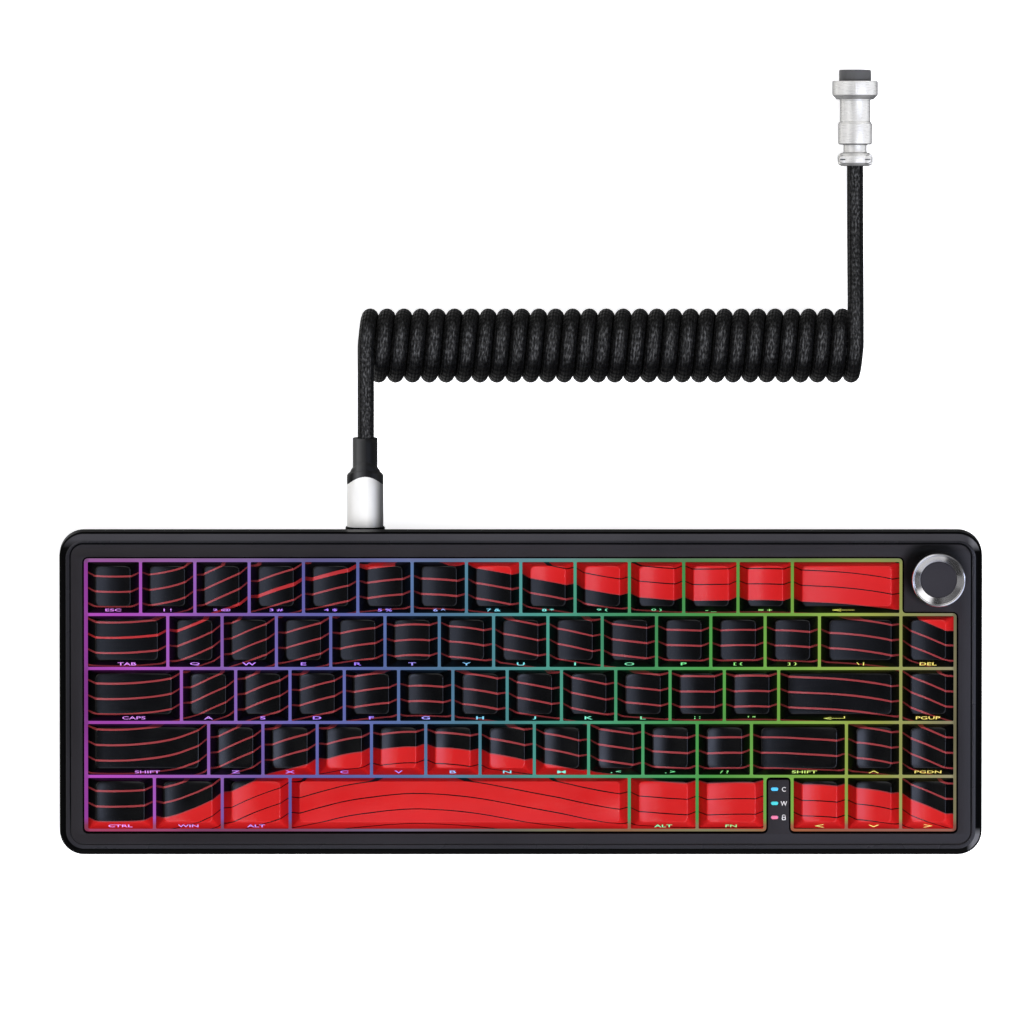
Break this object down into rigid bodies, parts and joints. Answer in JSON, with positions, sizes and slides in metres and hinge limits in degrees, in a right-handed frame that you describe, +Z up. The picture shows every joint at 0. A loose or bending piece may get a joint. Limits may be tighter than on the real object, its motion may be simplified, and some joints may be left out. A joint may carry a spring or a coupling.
{
  "type": "mechanical keyboard",
  "caption": "Compact black mechanical keyboard with a rotary volume knob, indicator lights, red wave-lined keycaps and a coiled cable with a round metal connector.",
  "frame": {"origin": "on the desk, under the middle of the case's outline", "axes": "+X to the typist's right along the key rows, +Y away from the typist, +Z up"},
  "size_m": [0.3234, 0.2754, 0.0468],
  "materials": {
    "case_plastic": "satin dark grey plastic with a glossy rim",
    "keycap_plastic": "black double-shot plastic printed with red wave lines",
    "plate_metal": "brushed plate",
    "switch_plastic": "pale switch bodies on a green board",
    "clear_plastic": "clear light guide",
    "bright_metal": "machined, bright",
    "steel": "plated",
    "rubber": "matte black",
    "braided_cord": "black braid"
  },
  "bodies": {
    "case": {"top_case": "case_plastic", "bottom_case": "case_plastic", "switch_plate": "plate_metal", "circuit_board_and_switches": "switch_plastic", "usb_socket": "steel", "indicator_light_guide": "clear_plastic", "rotary_encoder": "steel", "front_rubber_pad": "rubber", "rear_rubber_pad": "rubber", "usb_plug": "bright_metal", "cable_strain_relief": "rubber", "cable_lead": "braided_cord", "cable_coil": "braided_cord", "cable_tail": "braided_cord", "aviator_plug": "bright_metal"},
    "encoder_plunger": {"encoder_plunger": "steel"},
    "knob": {"volume_knob": "bright_metal"},
    "flip_foot_left": {"flip_foot_left": "case_plastic"},
    "flip_foot_right": {"flip_foot_right": "case_plastic"},
    "coupling_ring": {"aviator_coupling_ring": "bright_metal"},
    "key_space": {"keycap_space": "keycap_plastic"},
    "key_enter": {"keycap_enter": "keycap_plastic"},
    "key_backspace": {"keycap_backspace": "keycap_plastic"},
    "key_lshift": {"keycap_lshift": "keycap_plastic"},
    "key_rshift": {"keycap_rshift": "keycap_plastic"},
    "key_esc": {"keycap_esc": "keycap_plastic"},
    "key_tab": {"keycap_tab": "keycap_plastic"},
    "key_caps": {"keycap_caps": "keycap_plastic"},
    "key_ctrl": {"keycap_ctrl": "keycap_plastic"},
    "key_win": {"keycap_win": "keycap_plastic"},
    "key_lalt": {"keycap_lalt": "keycap_plastic"},
    "key_ralt": {"keycap_ralt": "keycap_plastic"},
    "key_fn": {"keycap_fn": "keycap_plastic"},
    "key_left": {"keycap_left": "keycap_plastic"},
    "key_down": {"keycap_down": "keycap_plastic"},
    "key_right": {"keycap_right": "keycap_plastic"},
    "key_up": {"keycap_up": "keycap_plastic"},
    "key_page_down": {"keycap_page_down": "keycap_plastic"},
    "key_page_up": {"keycap_page_up": "keycap_plastic"},
    "key_delete": {"keycap_delete": "keycap_plastic"},
    "key_backslash": {"keycap_backslash": "keycap_plastic"},
    "keys_0_minus_equals": {"keycaps_0_minus_equals": "keycap_plastic"},
    "keys_1_2_3": {"keycaps_1_2_3": "keycap_plastic"},
    "keys_4_5_6": {"keycaps_4_5_6": "keycap_plastic"},
    "keys_7_8_9": {"keycaps_7_8_9": "keycap_plastic"},
    "keys_a_s": {"keycaps_a_s": "keycap_plastic"},
    "keys_comma_period_slash": {"keycaps_comma_period_slash": "keycap_plastic"},
    "keys_d_f": {"keycaps_d_f": "keycap_plastic"},
    "keys_e_r": {"keycaps_e_r": "keycap_plastic"},
    "keys_g_h": {"keycaps_g_h": "keycap_plastic"},
    "keys_j_k": {"keycaps_j_k": "keycap_plastic"},
    "keys_l_semicolon_quote": {"keycaps_l_semicolon_quote": "keycap_plastic"},
    "keys_lbracket_rbracket": {"keycaps_lbracket_rbracket": "keycap_plastic"},
    "keys_n_m": {"keycaps_n_m": "keycap_plastic"},
    "keys_o_p": {"keycaps_o_p": "keycap_plastic"},
    "keys_q_w": {"keycaps_q_w": "keycap_plastic"},
    "keys_t_y": {"keycaps_t_y": "keycap_plastic"},
    "keys_u_i": {"keycaps_u_i": "keycap_plastic"},
    "keys_v_b": {"keycaps_v_b": "keycap_plastic"},
    "keys_z_x_c": {"keycaps_z_x_c": "keycap_plastic"}
  },
  "joints": [
    {"name": "encoder_push", "type": "slide", "parent": "case", "child": "encoder_plunger", "axis": [0, 0.1045, -0.9945], "range_m": [0, 0.0005], "stiffness_N_per_m": 1500, "springref_m": -0.0008},
    {"name": "knob_turn", "type": "hinge", "parent": "encoder_plunger", "child": "knob", "pos_m": [0.1464, 0.04023, 0.03504], "axis": [0, -0.1045, 0.9945], "continuous": true},
    {"name": "flip_foot_left_fold", "type": "hinge", "parent": "case", "child": "flip_foot_left", "pos_m": [-0.118, 0.024, 0.0046], "axis": [-1, 0, 0], "range_deg": [0, 80]},
    {"name": "flip_foot_right_fold", "type": "hinge", "parent": "case", "child": "flip_foot_right", "pos_m": [0.118, 0.024, 0.0046], "axis": [-1, 0, 0], "range_deg": [0, 80]},
    {"name": "coupling_ring_turn", "type": "hinge", "parent": "case", "child": "coupling_ring", "pos_m": [0.11728, 0.2114, 0.0083], "axis": [0, 1, 0], "continuous": true},
    {"name": "key_space_press", "type": "slide", "parent": "case", "child": "key_space", "axis": [0, 0.1045, -0.9945], "range_m": [0, 0.004], "stiffness_N_per_m": 80, "springref_m": -0.0045},
    {"name": "key_enter_press", "type": "slide", "parent": "case", "child": "key_enter", "axis": [0, 0.1045, -0.9945], "range_m": [0, 0.004], "stiffness_N_per_m": 80, "springref_m": -0.0045},
    {"name": "key_backspace_press", "type": "slide", "parent": "case", "child": "key_backspace", "axis": [0, 0.1045, -0.9945], "range_m": [0, 0.004], "stiffness_N_per_m": 80, "springref_m": -0.0045},
    {"name": "key_lshift_press", "type": "slide", "parent": "case", "child": "key_lshift", "axis": [0, 0.1045, -0.9945], "range_m": [0, 0.004], "stiffness_N_per_m": 80, "springref_m": -0.0045},
    {"name": "key_rshift_press", "type": "slide", "parent": "case", "child": "key_rshift", "axis": [0, 0.1045, -0.9945], "range_m": [0, 0.004], "stiffness_N_per_m": 80, "springref_m": -0.0045},
    {"name": "key_esc_press", "type": "slide", "parent": "case", "child": "key_esc", "axis": [0, 0.1045, -0.9945], "range_m": [0, 0.004], "stiffness_N_per_m": 80, "springref_m": -0.0045},
    {"name": "key_tab_press", "type": "slide", "parent": "case", "child": "key_tab", "axis": [0, 0.1045, -0.9945], "range_m": [0, 0.004], "stiffness_N_per_m": 80, "springref_m": -0.0045},
    {"name": "key_caps_press", "type": "slide", "parent": "case", "child": "key_caps", "axis": [0, 0.1045, -0.9945], "range_m": [0, 0.004], "stiffness_N_per_m": 80, "springref_m": -0.0045},
    {"name": "key_ctrl_press", "type": "slide", "parent": "case", "child": "key_ctrl", "axis": [0, 0.1045, -0.9945], "range_m": [0, 0.004], "stiffness_N_per_m": 80, "springref_m": -0.0045},
    {"name": "key_win_press", "type": "slide", "parent": "case", "child": "key_win", "axis": [0, 0.1045, -0.9945], "range_m": [0, 0.004], "stiffness_N_per_m": 80, "springref_m": -0.0045},
    {"name": "key_lalt_press", "type": "slide", "parent": "case", "child": "key_lalt", "axis": [0, 0.1045, -0.9945], "range_m": [0, 0.004], "stiffness_N_per_m": 80, "springref_m": -0.0045},
    {"name": "key_ralt_press", "type": "slide", "parent": "case", "child": "key_ralt", "axis": [0, 0.1045, -0.9945], "range_m": [0, 0.004], "stiffness_N_per_m": 80, "springref_m": -0.0045},
    {"name": "key_fn_press", "type": "slide", "parent": "case", "child": "key_fn", "axis": [0, 0.1045, -0.9945], "range_m": [0, 0.004], "stiffness_N_per_m": 80, "springref_m": -0.0045},
    {"name": "key_left_press", "type": "slide", "parent": "case", "child": "key_left", "axis": [0, 0.1045, -0.9945], "range_m": [0, 0.004], "stiffness_N_per_m": 80, "springref_m": -0.0045},
    {"name": "key_down_press", "type": "slide", "parent": "case", "child": "key_down", "axis": [0, 0.1045, -0.9945], "range_m": [0, 0.004], "stiffness_N_per_m": 80, "springref_m": -0.0045},
    {"name": "key_right_press", "type": "slide", "parent": "case", "child": "key_right", "axis": [0, 0.1045, -0.9945], "range_m": [0, 0.004], "stiffness_N_per_m": 80, "springref_m": -0.0045},
    {"name": "key_up_press", "type": "slide", "parent": "case", "child": "key_up", "axis": [0, 0.1045, -0.9945], "range_m": [0, 0.004], "stiffness_N_per_m": 80, "springref_m": -0.0045},
    {"name": "key_page_down_press", "type": "slide", "parent": "case", "child": "key_page_down", "axis": [0, 0.1045, -0.9945], "range_m": [0, 0.004], "stiffness_N_per_m": 80, "springref_m": -0.0045},
    {"name": "key_page_up_press", "type": "slide", "parent": "case", "child": "key_page_up", "axis": [0, 0.1045, -0.9945], "range_m": [0, 0.004], "stiffness_N_per_m": 80, "springref_m": -0.0045},
    {"name": "key_delete_press", "type": "slide", "parent": "case", "child": "key_delete", "axis": [0, 0.1045, -0.9945], "range_m": [0, 0.004], "stiffness_N_per_m": 80, "springref_m": -0.0045},
    {"name": "key_backslash_press", "type": "slide", "parent": "case", "child": "key_backslash", "axis": [0, 0.1045, -0.9945], "range_m": [0, 0.004], "stiffness_N_per_m": 80, "springref_m": -0.0045},
    {"name": "keys_0_minus_equals_press", "type": "slide", "parent": "case", "child": "keys_0_minus_equals", "axis": [0, 0.1045, -0.9945], "range_m": [0, 0.004], "stiffness_N_per_m": 240, "springref_m": -0.0045},
    {"name": "keys_1_2_3_press", "type": "slide", "parent": "case", "child": "keys_1_2_3", "axis": [0, 0.1045, -0.9945], "range_m": [0, 0.004], "stiffness_N_per_m": 240, "springref_m": -0.0045},
    {"name": "keys_4_5_6_press", "type": "slide", "parent": "case", "child": "keys_4_5_6", "axis": [0, 0.1045, -0.9945], "range_m": [0, 0.004], "stiffness_N_per_m": 240, "springref_m": -0.0045},
    {"name": "keys_7_8_9_press", "type": "slide", "parent": "case", "child": "keys_7_8_9", "axis": [0, 0.1045, -0.9945], "range_m": [0, 0.004], "stiffness_N_per_m": 240, "springref_m": -0.0045},
    {"name": "keys_a_s_press", "type": "slide", "parent": "case", "child": "keys_a_s", "axis": [0, 0.1045, -0.9945], "range_m": [0, 0.004], "stiffness_N_per_m": 160, "springref_m": -0.0045},
    {"name": "keys_comma_period_slash_press", "type": "slide", "parent": "case", "child": "keys_comma_period_slash", "axis": [0, 0.1045, -0.9945], "range_m": [0, 0.004], "stiffness_N_per_m": 240, "springref_m": -0.0045},
    {"name": "keys_d_f_press", "type": "slide", "parent": "case", "child": "keys_d_f", "axis": [0, 0.1045, -0.9945], "range_m": [0, 0.004], "stiffness_N_per_m": 160, "springref_m": -0.0045},
    {"name": "keys_e_r_press", "type": "slide", "parent": "case", "child": "keys_e_r", "axis": [0, 0.1045, -0.9945], "range_m": [0, 0.004], "stiffness_N_per_m": 160, "springref_m": -0.0045},
    {"name": "keys_g_h_press", "type": "slide", "parent": "case", "child": "keys_g_h", "axis": [0, 0.1045, -0.9945], "range_m": [0, 0.004], "stiffness_N_per_m": 160, "springref_m": -0.0045},
    {"name": "keys_j_k_press", "type": "slide", "parent": "case", "child": "keys_j_k", "axis": [0, 0.1045, -0.9945], "range_m": [0, 0.004], "stiffness_N_per_m": 160, "springref_m": -0.0045},
    {"name": "keys_l_semicolon_quote_press", "type": "slide", "parent": "case", "child": "keys_l_semicolon_quote", "axis": [0, 0.1045, -0.9945], "range_m": [0, 0.004], "stiffness_N_per_m": 240, "springref_m": -0.0045},
    {"name": "keys_lbracket_rbracket_press", "type": "slide", "parent": "case", "child": "keys_lbracket_rbracket", "axis": [0, 0.1045, -0.9945], "range_m": [0, 0.004], "stiffness_N_per_m": 160, "springref_m": -0.0045},
    {"name": "keys_n_m_press", "type": "slide", "parent": "case", "child": "keys_n_m", "axis": [0, 0.1045, -0.9945], "range_m": [0, 0.004], "stiffness_N_per_m": 160, "springref_m": -0.0045},
    {"name": "keys_o_p_press", "type": "slide", "parent": "case", "child": "keys_o_p", "axis": [0, 0.1045, -0.9945], "range_m": [0, 0.004], "stiffness_N_per_m": 160, "springref_m": -0.0045},
    {"name": "keys_q_w_press", "type": "slide", "parent": "case", "child": "keys_q_w", "axis": [0, 0.1045, -0.9945], "range_m": [0, 0.004], "stiffness_N_per_m": 160, "springref_m": -0.0045},
    {"name": "keys_t_y_press", "type": "slide", "parent": "case", "child": "keys_t_y", "axis": [0, 0.1045, -0.9945], "range_m": [0, 0.004], "stiffness_N_per_m": 160, "springref_m": -0.0045},
    {"name": "keys_u_i_press", "type": "slide", "parent": "case", "child": "keys_u_i", "axis": [0, 0.1045, -0.9945], "range_m": [0, 0.004], "stiffness_N_per_m": 160, "springref_m": -0.0045},
    {"name": "keys_v_b_press", "type": "slide", "parent": "case", "child": "keys_v_b", "axis": [0, 0.1045, -0.9945], "range_m": [0, 0.004], "stiffness_N_per_m": 160, "springref_m": -0.0045},
    {"name": "keys_z_x_c_press", "type": "slide", "parent": "case", "child": "keys_z_x_c", "axis": [0, 0.1045, -0.9945], "range_m": [0, 0.004], "stiffness_N_per_m": 240, "springref_m": -0.0045}
  ]
}
